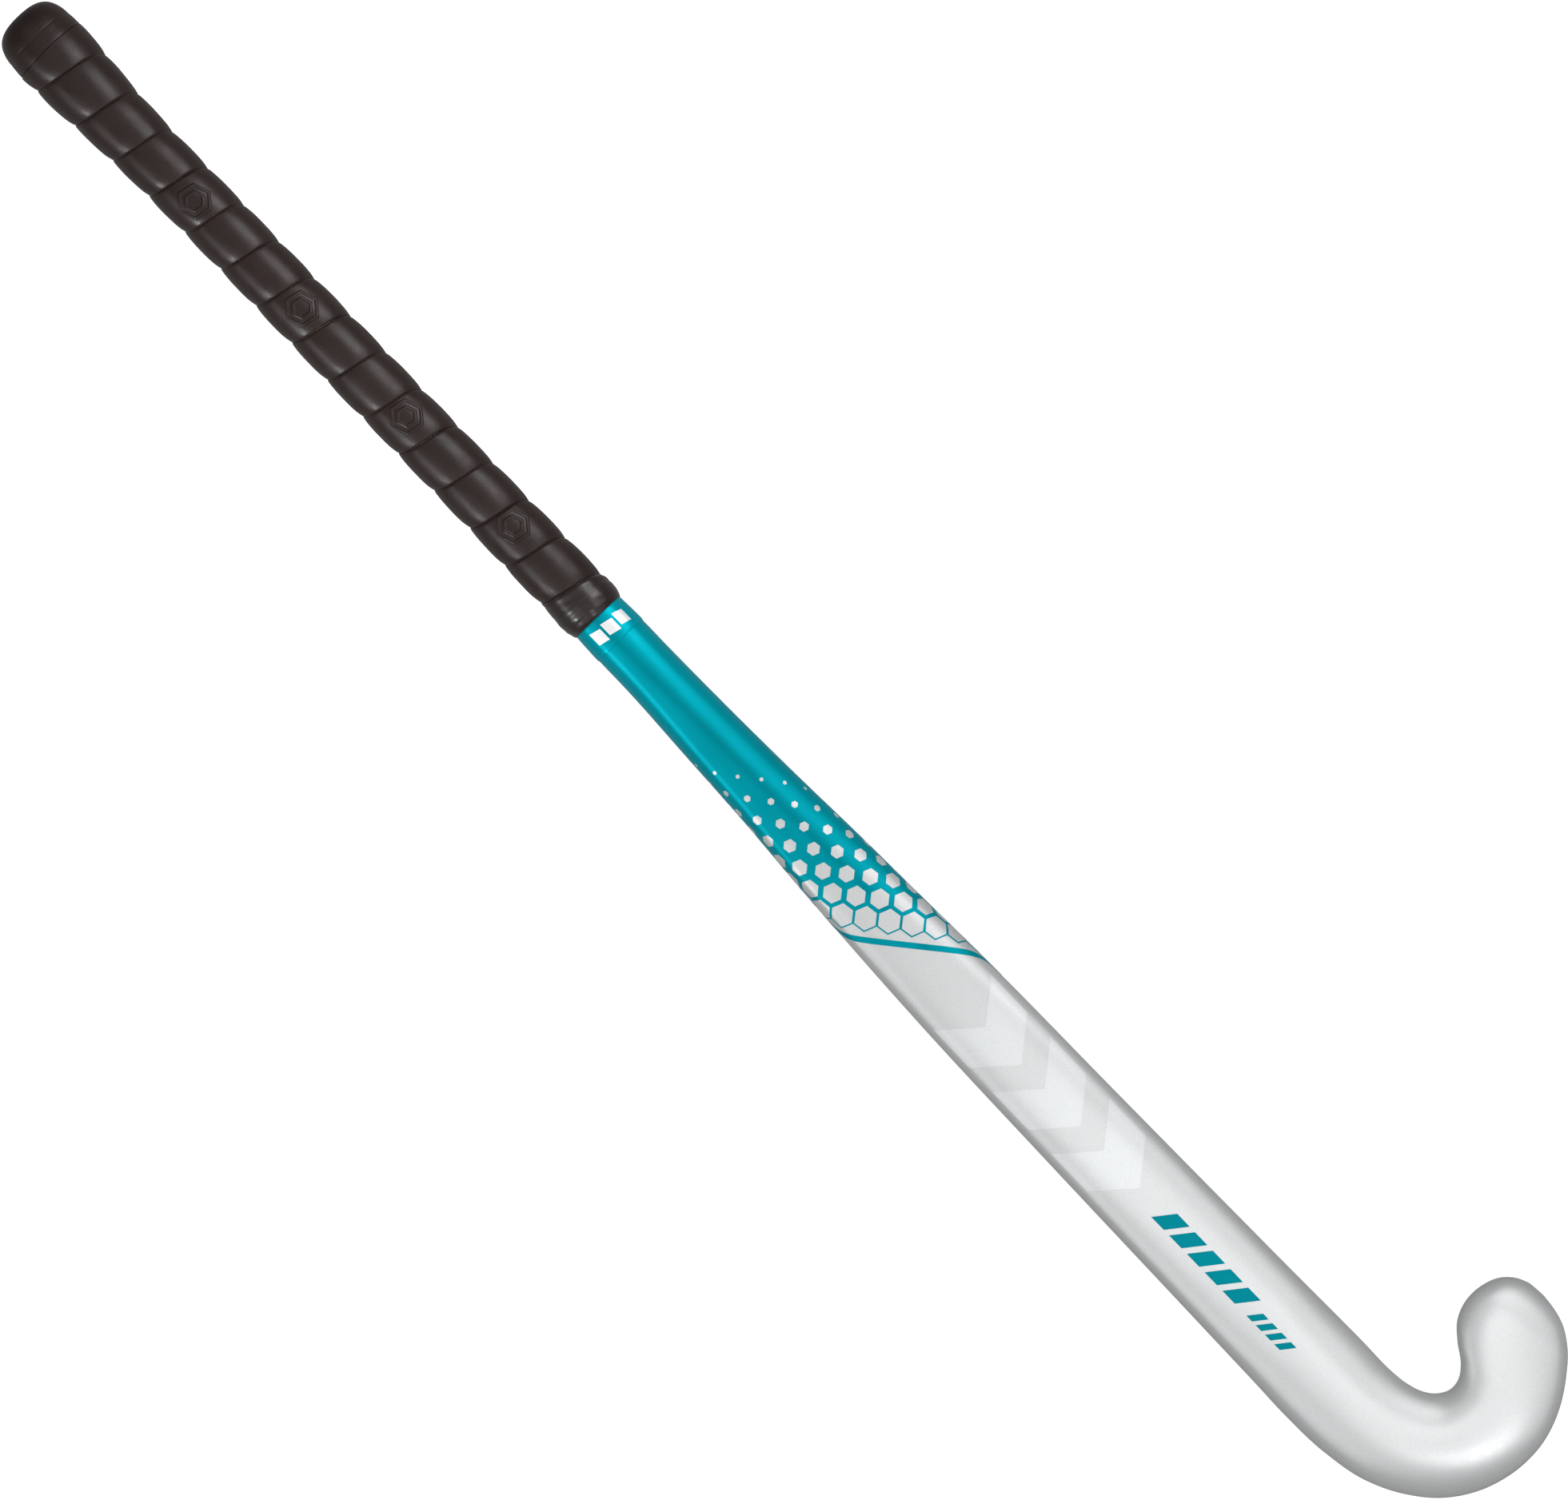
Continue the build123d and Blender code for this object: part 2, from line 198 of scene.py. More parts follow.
def unit_outline(half, depth, flat, crowns, fine=1):
    """A closed D from the middle of its flat side, round by -u, over the top and back."""
    left = half_outline(half, depth, flat, crowns[0], fine)
    right = half_outline(half, depth, flat, crowns[1], fine)[1:][::-1] * (-1, 1)
    return np.vstack([left, [(0, depth)], right])


# ---- the shell as a run of sections ----
def shell_rows():
    """Rows of (run, inner x, y, outer x, y, depth, flat, crowns), run along the middle."""
    rows = []
    for x, width, depth, offset, flat, crown_out, crown_in in SHAFT:
        ends = (x, offset + width / 2, x, offset - width / 2)
        rows.append((x, *ends, depth, flat, crown_out, crown_in))
    run = BEND_START
    last = rows[-1][1:5]
    for inner, outer, depth, crown_out, crown_in in HEAD:
        step = (math.dist(inner, last[:2]) + math.dist(outer, last[2:])) / 2
        last = (*inner, *outer)
        run += step
        rows.append((run, *last, depth, HEAD_FLAT, crown_out, crown_in))
    return rows


SHELL_ROWS = shell_rows()
shell_section = smooth_table(SHELL_ROWS)
SHELL_START = SHELL_ROWS[0][0]
SHELL_RUN = SHELL_ROWS[-1][0]
HOLLOW_RUN = SHELL_ROWS[len(SHAFT) + HOLLOW_SECTIONS - 1][0]


def shell_ring(run, inset=0.0, fine=1):
    """The shell's outline at a distance along its middle, in millimetres."""
    xi, yi, xo, yo, depth, flat, *crowns = shell_section(run)
    inner, outer = np.array((xi, yi)), np.array((xo, yo))
    half = math.dist(inner, outer) / 2
    across = (inner - outer) / (2 * half)
    middle = (inner + outer) / 2
    low = max(axis_height(run) - depth / 2, 0) if run < BOW_END else 0
    outline = unit_outline(half - inset, depth - 2 * inset, flat, crowns, fine)
    flat_points = middle + outline[:, :1] * across
    return np.column_stack([flat_points, outline[:, 1] + low + inset])


grip_section = smooth_table(GRIP)


def grip_ring(x, inset=0.0, fine=1):
    """The grip's nominal outline at a station."""
    width, depth, offset = grip_section(x)
    outline = unit_outline(width / 2 - inset, depth - 2 * inset, GRIP_FLAT, GRIP_CROWNS, fine)
    low = axis_height(x) - depth / 2 + inset
    ring = np.empty((len(outline), 3))
    ring[:, 0] = x
    ring[:, 1] = outline[:, 0] + offset
    ring[:, 2] = outline[:, 1] + low
    return ring


class Skin:
    """A surface read by station and by distance round it from the top of the back."""

    STEP = 1.0
    COLUMNS = 721

    def __init__(self, ring, start, end):
        self.start = start
        self.count = int(math.ceil((end - start) / self.STEP)) + 1
        shares = np.linspace(0, 1, self.COLUMNS)
        rings = []
        self.girths = []
        for i in range(self.count):
            points = ring(start + i * self.STEP, fine=4)
            points = np.vstack([points, points[:1]])
            run = np.concatenate([[0], np.cumsum(np.linalg.norm(np.diff(points, axis=0), axis=1))])
            self.girths.append(run[-1])
            columns = [np.interp(shares * run[-1], run, points[:, k]) for k in range(3)]
            rings.append(np.stack(columns, axis=1))
        self.points = np.array(rings)
        along = np.gradient(self.points, axis=0)
        around = np.gradient(self.points, axis=1)
        around[:, 0] = around[:, -1] = around[:, 0] + around[:, -1]
        normals = np.cross(along, around)
        self.normals = normals / np.linalg.norm(normals, axis=2, keepdims=True)

    def girth(self, x):
        at = np.clip((x - self.start) / self.STEP, 0, self.count - 1)
        return float(np.interp(at, range(self.count), self.girths))

    def point(self, x, share, lift=0.0):
        """The point at a station and a share of the way round, from the middle of the face."""
        i = np.clip((x - self.start) / self.STEP, 0, self.count - 1.001)
        j = (share % 1.0) * (self.COLUMNS - 1)
        i0, j0 = int(i), min(int(j), self.COLUMNS - 2)
        fi, fj = i - i0, j - j0
        result = []
        for grid in (self.points, self.normals):
            near = grid[i0, j0] * (1 - fj) + grid[i0, j0 + 1] * fj
            far = grid[i0 + 1, j0] * (1 - fj) + grid[i0 + 1, j0 + 1] * fj
            result.append(near * (1 - fi) + far * fi)
        return result[0] + result[1] * lift

    def at(self, x, s, lift=0.0):
        """The point at a station and a distance round from the top, + towards the hook."""
        return self.point(x, 0.5 + s / self.girth(x), lift)


shaft_skin = Skin(shell_ring, 360.0, 836.0)
grip_skin = Skin(grip_ring, CAP_FLOOR, 371.0)


# ---- making pieces ----
def add_piece(name, points, faces, material, replaces=(), sharp=None):
    """A smooth mesh from millimetre points, riding on the stick."""
    mesh = bpy.data.meshes.new(name)
    metres = [(BUTT_X + p[0] * MM, BLADE_Y + p[1] * MM, p[2] * MM) for p in points]
    mesh.from_pydata(metres, [], faces)
    mesh.validate()
    mesh.shade_smooth()
    if sharp is not None:
        mesh.set_sharp_from_angle(angle=math.radians(sharp))
    mesh.materials.append(material)
    piece = bpy.data.objects.new(name, mesh)
    bpy.context.scene.collection.objects.link(piece)
    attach(piece, "root")
    if replaces:
        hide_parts(*replaces)


def skinned(rings, closed=False):
    """Points and faces of a run of equal rings, capped at both ends or closed on itself."""
    size = len(rings[0])
    points = [p for ring in rings for p in ring]
    faces = []
    count = len(rings)
    for i in range(count if closed else count - 1):
        a, b = i * size, (i + 1) % count * size
        for j in range(size):
            k = (j + 1) % size
            faces.append((a + j, b + j, b + k, a + k))
    if not closed:
        faces.append(tuple(range(size)))
        faces.append(tuple(range((count - 1) * size, count * size))[::-1])
    return points, faces


def rounded_end(ring, centre, direction, rise, steps=12):
    """Rings that close an open end with a dome."""
    rings = []
    for k in range(1, steps):
        turn = math.pi / 2 * k / steps
        rings.append(centre + (ring - centre) * math.cos(turn) + direction * rise * math.sin(turn))
    return rings


class Print:
    """A flat layout in (station, distance round) laid on a skin as a thin closed layer."""

    def __init__(self, skin, low, high):
        self.skin, self.low, self.high = skin, low, high
        self.points, self.faces = [], []

    def lay(self, layout, cells, lifts=None):
        """Adds one patch: its layout points, and its cells as corner numbers, anticlockwise."""
        base = len(self.points)
        count = len(layout)
        lifts = lifts or [self.high] * count
        self.points += [self.skin.at(x, s, lift) for (x, s), lift in zip(layout, lifts)]
        self.points += [self.skin.at(x, s, self.low) for x, s in layout]
        used = {}
        for cell in cells:
            self.faces.append(tuple(base + c for c in cell))
            self.faces.append(tuple(base + count + c for c in cell[::-1]))
            for a, b in zip(cell, cell[1:] + cell[:1]):
                used[(a, b)] = True
        for a, b in used:
            if (b, a) not in used:
                self.faces.append((base + b, base + a, base + count + a, base + count + b))

    def lay_grid(self, corner, columns, rows):
        """Adds a patch of quads, corner(u, v) giving the layout point for u and v in 0..1."""
        layout = [
            corner(i / columns, j / rows) for j in range(rows + 1) for i in range(columns + 1)
        ]
        cells = []
        for j in range(rows):
            for i in range(columns):
                a = j * (columns + 1) + i
                cells.append((a, a + 1, a + columns + 2, a + columns + 1))
        self.lay(layout, cells)

    def lay_hexagon(self, centre, radius, turn, hole=0.0, grain=0.9, ridge=0):
        """Adds a hexagon, or a hexagonal ring, with fine enough cells to follow the skin.

        A ridge count makes the ring a rounded ridge of that many steps across.
        """
        sides = max(1, round(radius / grain))
        rings = ridge or max(1, round((radius - hole) / grain))
        lifts = None
        if ridge:
            swell = [math.sin(math.pi * k / ridge) for k in range(ridge + 1)]
            lifts = [self.high * w for w in swell for _ in range(6 * sides)]
        layout = []
        for k in range(rings + 1):
            reach = hole + (radius - hole) * k / rings
            for i in range(6 * sides):
                edge, along = divmod(i, sides)
                a = turn + math.pi / 3 * edge
                b = a + math.pi / 3
                t = along / sides
                layout.append((
                    centre[0] + reach * (math.cos(a) * (1 - t) + math.cos(b) * t),
                    centre[1] + reach * (math.sin(a) * (1 - t) + math.sin(b) * t),
                ))
        size = 6 * sides
        if hole:
            cells, layout_points = [], layout
        else:
            layout_points = [centre] + layout[size:]
            cells = [(0, 1 + i, 1 + (i + 1) % size) for i in range(size)]
        first = 0 if hole else 1
        for k in range(rings if hole else rings - 1):
            for i in range(size):
                a = first + k * size + i
                b = first + k * size + (i + 1) % size
                cells.append((a, a + size, b + size, b))
        self.lay(layout_points, cells, lifts)

    def piece(self, name, material, slot, replaces=()):
        add_piece(name, self.points, self.faces, material, replaces, sharp=50)


# ---- materials ----
class Nodes:
    """A new material, with short calls for its nodes."""

    def __init__(self, name):
        self.material = bpy.data.materials.new(name)
        self.material.use_nodes = True
        self.tree = self.material.node_tree
        self.shader = self.tree.nodes["Principled BSDF"]
        self.place = self.tree.nodes.new("ShaderNodeTexCoord").outputs["Object"]

    def link(self, source, target):
        self.tree.links.new(source, target)

    def noise(self, scale, detail=2.0, rough=0.5, stretch=None):
        node = self.tree.nodes.new("ShaderNodeTexNoise")
        node.inputs["Scale"].default_value = scale
        node.inputs["Detail"].default_value = detail
        node.inputs["Roughness"].default_value = rough
        place = self.place
        if stretch:
            mapping = self.tree.nodes.new("ShaderNodeMapping")
            mapping.inputs["Scale"].default_value = stretch
            self.link(place, mapping.inputs["Vector"])
            place = mapping.outputs["Vector"]
        self.link(place, node.inputs["Vector"])
        return node.outputs["Fac"]

    def cells(self, scale):
        node = self.tree.nodes.new("ShaderNodeTexVoronoi")
        node.inputs["Scale"].default_value = scale
        self.link(self.place, node.inputs["Vector"])
        return node.outputs["Distance"]

    def ramp(self, source, stops):
        node = self.tree.nodes.new("ShaderNodeValToRGB")
        elements = node.color_ramp.elements
        while len(elements) < len(stops):
            elements.new(0.5)
        for element, (at, colour) in zip(elements, stops):
            element.position = at
            element.color = (*colour, 1)
        self.link(source, node.inputs["Fac"])
        return node.outputs["Color"]

    def span(self, source, low, high, start=0.3, end=0.7):
        node = self.tree.nodes.new("ShaderNodeMapRange")
        ends = {"From Min": start, "From Max": end, "To Min": low, "To Max": high}
        for key, value in ends.items():
            node.inputs[key].default_value = value
        self.link(source, node.inputs["Value"])
        return node.outputs["Result"]

    def add(self, a, b):
        node = self.tree.nodes.new("ShaderNodeMath")
        node.operation = "ADD"
        self.link(a, node.inputs[0])
        self.link(b, node.inputs[1])
        return node.outputs["Value"]

    def math(self, operation, a, b=0.0):
        node = self.tree.nodes.new("ShaderNodeMath")
        node.operation = operation
        self.link(a, node.inputs[0])
        node.inputs[1].default_value = b
        return node.outputs["Value"]

    def near_line(self, start, end, width):
        """1 on a straight line in plan, through two places, fading to 0 at width from it."""
        across = Vector((start[1] - end[1], end[0] - start[0], 0)).normalized()
        dot = self.tree.nodes.new("ShaderNodeVectorMath")
        dot.operation = "DOT_PRODUCT"
        self.link(self.place, dot.inputs[0])
        dot.inputs[1].default_value = across
        offset = across.x * start[0] + across.y * start[1]
        distance = self.math("ABSOLUTE", self.math("SUBTRACT", dot.outputs["Value"], offset))
        return self.span(distance, 1, 0, 0, width)

    def dim(self, colour, mask, loss):
        """The colour, darker by a share where the mask is 1."""
        node = self.tree.nodes.new("ShaderNodeHueSaturation")
        self.link(colour, node.inputs["Color"])
        self.link(self.span(mask, 1, 1 - loss, 0, 1), node.inputs["Value"])
        return node.outputs["Color"]

    def bump(self, height, distance, strength=1.0):
        node = self.tree.nodes.new("ShaderNodeBump")
        node.inputs["Distance"].default_value = distance
        node.inputs["Strength"].default_value = strength
        self.link(height, node.inputs["Height"])
        self.link(node.outputs["Normal"], self.shader.inputs["Normal"])

    def set(self, **values):
        sockets = {socket.name.lower().replace(" ", "_"): socket for socket in self.shader.inputs}
        for key, value in values.items():
            sockets[key].default_value = value


def tone(colour, factor):
    return tuple(min(c * factor, 1) for c in colour)


def pearl_paint(name, colour):
    """Satin pearl lacquer: fine metallic grain under a thin clear coat."""
    m = Nodes(name)
    grain = m.noise(1500, 2, 0.7)
    m.link(m.ramp(grain, [(0.30, tone(colour, 0.94)), (0.52, colour), (0.72, tone(colour, 1.05))]),
           m.shader.inputs["Base Color"])
    m.link(m.span(m.noise(1100, 1), 0.30, 0.38), m.shader.inputs["Roughness"])
    m.set(metallic=0.40, specular_ior_level=0.35)
    m.bump(m.noise(900, 1, 0.5), 0.00001, 0.08)
    return m.material


def teal_lacquer(name, colour, metallic):
    """Deep metallic colour, whose highlights keep its hue, darkened by painted shade along one
    soft line on the film's back.
    """
    m = Nodes(name)
    drift = m.noise(22, 3)
    base = m.ramp(drift, [(0.25, tone(colour, 0.92)), (0.5, colour), (0.75, tone(colour, 1.06))])
    # Painted shade: the base colour is made darker along a soft line down the back of the film.
    shaded = m.dim(base, m.near_line(*PAINTED_SHADE_LINE, PAINTED_SHADE_REACH), PAINTED_SHADE_LOSS)
    m.link(shaded, m.shader.inputs["Base Color"])
    m.link(m.span(m.noise(1400, 2), 0.29, 0.37), m.shader.inputs["Roughness"])
    m.set(metallic=metallic, specular_ior_level=0.02)
    m.bump(m.noise(1300, 2), 0.00001, 0.12)
    return m.material


def grip_cushion(name, colour):
    """Soft dark polyurethane with a fine leather grain."""
    m = Nodes(name)
    patch = m.noise(75, 4, 0.6)
    m.link(m.ramp(patch, [(0.25, tone(colour, 0.78)), (0.5, colour), (0.78, tone(colour, 1.30))]),
           m.shader.inputs["Base Color"])
    m.link(m.span(m.noise(160, 3), 0.33, 0.45), m.shader.inputs["Roughness"])
    m.set(specular_ior_level=0.32)
    m.bump(m.add(m.cells(1500), m.noise(900, 3)), 0.00005, 0.5)
    return m.material


def gloss_tape(name, colour):
    """Stretched vinyl: glossy, with fine pulls round the handle."""
    m = Nodes(name)
    pull = m.noise(60, 4, 0.6, stretch=(9, 1, 1))
    m.link(m.ramp(pull, [(0.3, tone(colour, 0.75)), (0.55, colour), (0.8, tone(colour, 1.35))]),
           m.shader.inputs["Base Color"])
    m.link(m.span(m.noise(240, 3), 0.26, 0.38), m.shader.inputs["Roughness"])
    m.set(specular_ior_level=0.40, coat_weight=0.12, coat_roughness=0.15)
    m.bump(pull, 0.0001, 0.5)
    return m.material


def plain_stuff(name, colour, rough, grain, depth):
    """Foam, film, tape or bare laminate inside the stick."""
    m = Nodes(name)
    m.link(m.ramp(m.noise(grain, 3), [(0.3, tone(colour, 0.8)), (0.7, tone(colour, 1.15))]),
           m.shader.inputs["Base Color"])
    m.link(m.span(m.noise(grain / 3, 2), rough - 0.06, rough + 0.06), m.shader.inputs["Roughness"])
    m.bump(m.cells(grain), depth, 0.6)
    return m.material


# Painted shade: a soft dark line darkens the colour along the back of the film, through two places
# in metres.
PAINTED_SHADE_LINE = [(BUTT_X + 0.405, BLADE_Y + 0.0004), (BUTT_X + 0.460, BLADE_Y + 0.0018)]
PAINTED_SHADE_REACH = 0.0032
PAINTED_SHADE_LOSS = 0.22

PEARL = (0.672, 0.685, 0.69)
GHOST = (0.750, 0.770, 0.775)
TEAL = (0.0, 0.32, 0.40)
TEAL_PRINT = (0.0, 0.27, 0.34)
GRIP_BROWN = (0.0170, 0.0085, 0.0066)
TAPE_BROWN = (0.0150, 0.0085, 0.0070)
WHITE = (0.88, 0.89, 0.89)

pearl = pearl_paint("pearl_lacquer", PEARL)
ghost = pearl_paint("pale_pearl_print", GHOST)
white = pearl_paint("white_print", WHITE)
teal = teal_lacquer("teal_lacquer", TEAL, 0.35)
teal_print = teal_lacquer("teal_print", TEAL_PRINT, 0.1)
cushion = grip_cushion("grip_cushion", GRIP_BROWN)
rubber = grip_cushion("cap_rubber", GRIP_BROWN)
vinyl = gloss_tape("finishing_tape", TAPE_BROWN)

INNER_STUFF = {
    "rigid_foam": plain_stuff("rigid_foam", (0.70, 0.60, 0.36), 0.85, 1200, 0.0002),
    "handle_foam": plain_stuff("handle_foam", (0.05, 0.05, 0.05), 0.8, 1500, 0.0001),
    "tube_film": plain_stuff("tube_film", (0.62, 0.62, 0.56), 0.4, 500, 0.00003),
    "bare_laminate": plain_stuff("bare_laminate", (0.012, 0.012, 0.014), 0.45, 900, 0.00005),
    "adhesive_tape": plain_stuff("adhesive_tape", (0.52, 0.48, 0.36), 0.6, 1100, 0.00005),
}


# ---- the shell: outside, toe and hollow inside in one skin ----
COVERED_STEP = 6.0      # between rings inside the shell and under the grip
SEEN_FROM = 356.0       # station from which the rings are closer
SHAFT_STEP = 2.0
HEAD_STEP = 1.0


def make_shell():
    hollow = [shell_ring(run, WALL) for run in np.arange(HOLLOW_RUN, SHELL_START, -COVERED_STEP)]
    hollow.append(shell_ring(SHELL_START, WALL))
    outside = [shell_ring(run) for run in np.arange(SHELL_START, SEEN_FROM, COVERED_STEP)]
    outside += [shell_ring(run) for run in np.arange(SEEN_FROM, BEND_START, SHAFT_STEP)]
    outside += [shell_ring(run) for run in np.arange(BEND_START, SHELL_RUN, HEAD_STEP)]
    last = shell_ring(SHELL_RUN)
    outside.append(last)
    across = np.array(HEAD[-1][0]) - np.array(HEAD[-1][1])
    direction = np.array((across[1], -across[0], 0)) / np.linalg.norm(across)
    centre = last.mean(axis=0)
    outside += rounded_end(last, centre, direction, TOE_RISE)
    points, faces = skinned(hollow + outside)
    add_piece("shell", points, faces, pearl, ["shell_laminate"])


# ---- printed film, fading out in hexagons, and the stripe below it ----
CELL = 10.6             # hexagon centre to centre
ROW_TURN = math.radians(39.8)
LAST_ROW = (556.6, 1.6)  # one hexagon of the last row
TILE_SIZES = [9.4, 8.05, 6.7, 5.4, 4.05, 2.8, 1.7]   # across flats, last row first
TILE_ZONE = (440, 640)   # stations between which tiles may lie
TILE_EDGE = 3            # how far tiles keep from the flat face
TILE_STEPS = range(-9, 10)   # places along a row
OUTLINE_OVERLAP = 0.1    # how far neighbouring outlines run into each other
OUTLINE_UNDER = 0.2      # how far an outline runs in under its tile
STRIPE_X = 569.8         # where its middle crosses the top of the back
STRIPE_WIDTH = 2.7
FILM_LOW, FILM_HIGH = 0.02, 0.12
TILE_LOW, TILE_HIGH = 0.05, 0.16
MARK_LOW, MARK_HIGH = 0.02, 0.13
FILM_START = COLLAR_END - 1.5
FILM_GRID = (160, 90)    # columns round and rows along
STRIPE_GRID = (200, 4)


def slanted_x(x, share):
    """The station where a row through (x, top) reaches a share of the way round."""
    slope = 1 / math.tan(ROW_TURN)
    station = x
    for _ in range(12):
        girth = shaft_skin.girth(station)
        face = 0.5 - shaft_flat(station) / girth
        s = (share - 0.5) * girth
        limit = face * girth
        if abs(s) > limit:
            far = girth / 2 - abs(s)
            s = math.copysign(limit * far / (girth / 2 - limit), s)
        station = x + s * slope
    return station


def shaft_flat(x):
    """Half the width of the shaft's flat face at a station."""
    section = shell_section(x)
    return section[5] * (section[1] - section[3]) / 2


def sleeve(name, start, end, grid, replaces):
    """A thin closed layer of film right round the shaft, between two edges given by share."""
    columns, rows = grid
    shares = [j / columns for j in range(columns)]
    edges = [(share, start(share), end(share)) for share in shares]
    order = [(FILM_HIGH, t) for t in range(rows + 1)]
    order += [(FILM_LOW, t) for t in range(rows, -1, -1)]
    rings = []
    for lift, t in order:
        ring = [shaft_skin.point(a + (b - a) * t / rows, share, lift) for share, a, b in edges]
        rings.append(np.array(ring))
    points, faces = skinned(rings, closed=True)
    add_piece(name, points, faces, teal, replaces, sharp=50)


def make_film():
    film_end_x = LAST_ROW[0] - LAST_ROW[1] / math.tan(ROW_TURN)
    sleeve("shaft_print", lambda share: FILM_START, lambda share: slanted_x(film_end_x, share),
           FILM_GRID, ["shaft_film"])


def make_stripe():
    half = STRIPE_WIDTH / 2 / math.sin(ROW_TURN)
    sleeve("stripe", lambda share: slanted_x(STRIPE_X - half, share),
           lambda share: slanted_x(STRIPE_X + half, share), STRIPE_GRID, ["stripe_band"])


def make_tiles():
    """Rows of pale hexagons on the film, and the outlines of the last row below its end."""
    tiles = Print(shaft_skin, TILE_LOW, TILE_HIGH)
    outlines = Print(shaft_skin, TILE_LOW - 0.01, TILE_HIGH - 0.015)
    along = Vector((math.cos(ROW_TURN), math.sin(ROW_TURN))) * CELL
    back_turn = ROW_TURN - math.pi / 3
    back = Vector((math.cos(back_turn), math.sin(back_turn))) * -CELL
    corner_turn = ROW_TURN + math.pi / 6
    for row, size in enumerate(TILE_SIZES):
        for step in TILE_STEPS:
            centre = Vector(LAST_ROW) + back * row + along * (step + row // 2)
            if not TILE_ZONE[0] <= centre.x <= TILE_ZONE[1]:
                continue
            room = shaft_skin.girth(centre.x) / 2 - shaft_flat(centre.x) - TILE_EDGE
            if abs(centre.y) > room:
                continue
            radius = size / math.sqrt(3)
            tiles.lay_hexagon(tuple(centre), radius, corner_turn)
            if row == 0:
                outlines.lay_hexagon(tuple(centre), CELL / math.sqrt(3) + OUTLINE_OVERLAP,
                                     corner_turn, hole=radius - OUTLINE_UNDER, grain=1.0)
    tiles.piece("hex_tiles", pearl, "pearl_laminate")
    outlines.piece("hex_outlines", teal, "teal_film")


# ---- generic marks in the places of the printed ones ----
MARK_GRAIN = 1.5         # size of the cells that a mark is made of
CHEVRON_AT = (605, 643, 681)
CHEVRON_HALF, CHEVRON_REACH, CHEVRON_WIDTH = 18.0, 15, 23
# Rows of bars: (count, first station, spacing, low edge, high edge, width)
BLADE_BARS = [(5, 732, 11.4, -5.2, 4.1, 8.0), (4, 793, 5.9, -5.2, 0.8, 3.6)]
BLADE_SLANT = 0.75


def lay_slanted_bar(layer, x, low, high, width, slant):
    """A parallelogram between two distances round, leaning by slant per millimetre."""
    rows = max(2, round(abs(high - low) / MARK_GRAIN))

    def corner(u, v):
        s = low + (high - low) * v
        return (x + u * width + (s - low) * slant, s)

    layer.lay_grid(corner, max(2, round(width / MARK_GRAIN)), rows)


def lay_chevron(layer, x):
    """A wide arrowhead that points to the head."""

    def corner(u, v):
        s = CHEVRON_HALF * (2 * v - 1)
        return (x + u * CHEVRON_WIDTH + CHEVRON_REACH * (1 - abs(s) / CHEVRON_HALF), s)

    columns, half_rows = round(CHEVRON_WIDTH / MARK_GRAIN), round(CHEVRON_HALF / MARK_GRAIN)
    layer.lay_grid(corner, columns, 2 * half_rows)


def make_marks():
    pale = Print(shaft_skin, MARK_LOW, MARK_HIGH)
    for x in CHEVRON_AT:
        lay_chevron(pale, x)
    pale.piece("pale_chevrons", ghost, "pearl_laminate")

    bars = Print(shaft_skin, MARK_LOW, MARK_HIGH)
    for count, x, spacing, low, high, width in BLADE_BARS:
        for i in range(count):
            lay_slanted_bar(bars, x + i * spacing, low, high, width, BLADE_SLANT)
    bars.piece("blade_bars", teal_print, "teal_film")


# ---- collar ----
COLLAR_THICK = 0.45
COLLAR_BED = 0.05        # gap between the band and the laminate
COLLAR_COLUMNS = 120
COLLAR_SLANT = 0.22
COLLAR_BAR_X, COLLAR_BAR_LOW = 374.0, -8.6
COLLAR_BAR_SPACING, COLLAR_BAR_REACH, COLLAR_BAR_WIDTH = 6.9, 5.6, 6.4
COLLAR_BARS = 3


def make_collar():
    stations = [
        (COLLAR_START, COLLAR_BED), (COLLAR_START, COLLAR_THICK * 0.7),
        (COLLAR_START + 0.2, COLLAR_THICK),
    ]
    stations += [(x, COLLAR_THICK) for x in np.linspace(COLLAR_START + 1, COLLAR_END - 1.1, 14)]
    stations += [
        (COLLAR_END - 0.4, COLLAR_THICK - 0.03), (COLLAR_END - 0.12, COLLAR_THICK - 0.12),
        (COLLAR_END, FILM_HIGH), (COLLAR_END, COLLAR_BED),
    ]
    shares = [j / COLLAR_COLUMNS for j in range(COLLAR_COLUMNS)]
    rings = []
    for x, lift in stations:
        rings.append(np.array([shaft_skin.point(x, share, lift) for share in shares]))
    points, faces = skinned(rings, closed=True)
    add_piece("collar", points, faces, teal, ["collar_band"], sharp=40)

    marks = Print(shaft_skin, COLLAR_THICK - 0.03, COLLAR_THICK + 0.08)
    for i in range(COLLAR_BARS):
        low = COLLAR_BAR_LOW + i * COLLAR_BAR_SPACING
        high = low + COLLAR_BAR_REACH
        lay_slanted_bar(marks, COLLAR_BAR_X, low, high, COLLAR_BAR_WIDTH, COLLAR_SLANT)
    marks.piece("collar_bars", white, "pearl_laminate")


# ---- grip ----
PITCH = 22.8
FIRST_SEAM = 0.0        # station of the seam where turn 0 starts, at the middle of the face
SEAM_SWAY = 1.2         # how much less the seams lean over the back than round the face
GRIP_THICK = 1.9
LAST_TURN = 15          # the strip is cut off at the end of this turn
AROUND = 150            # rings in one turn of the strip
ACROSS = 34             # points across its outside
BARREL_RISE = 0.80
BARREL_POWER = 2.6
START_DROP, START_SHARE = 0.45, 0.024   # the sharp dip at the near edge, and its reach
FALL_DROP, FALL_SHARE = 0.35, 0.22      # the long fall to the far edge
END_DROP, END_SHARE = 0.25, 0.016       # the sharp dip at the far edge
STRIP_SINK = 0.50       # how far the edges lie below the nominal outline
DRIFT, RIPPLE, CREASES = 0.12, 0.06, 0.09   # heights of the hand-wound unevenness
WANDER = 0.5            # how far a seam strays from its even run


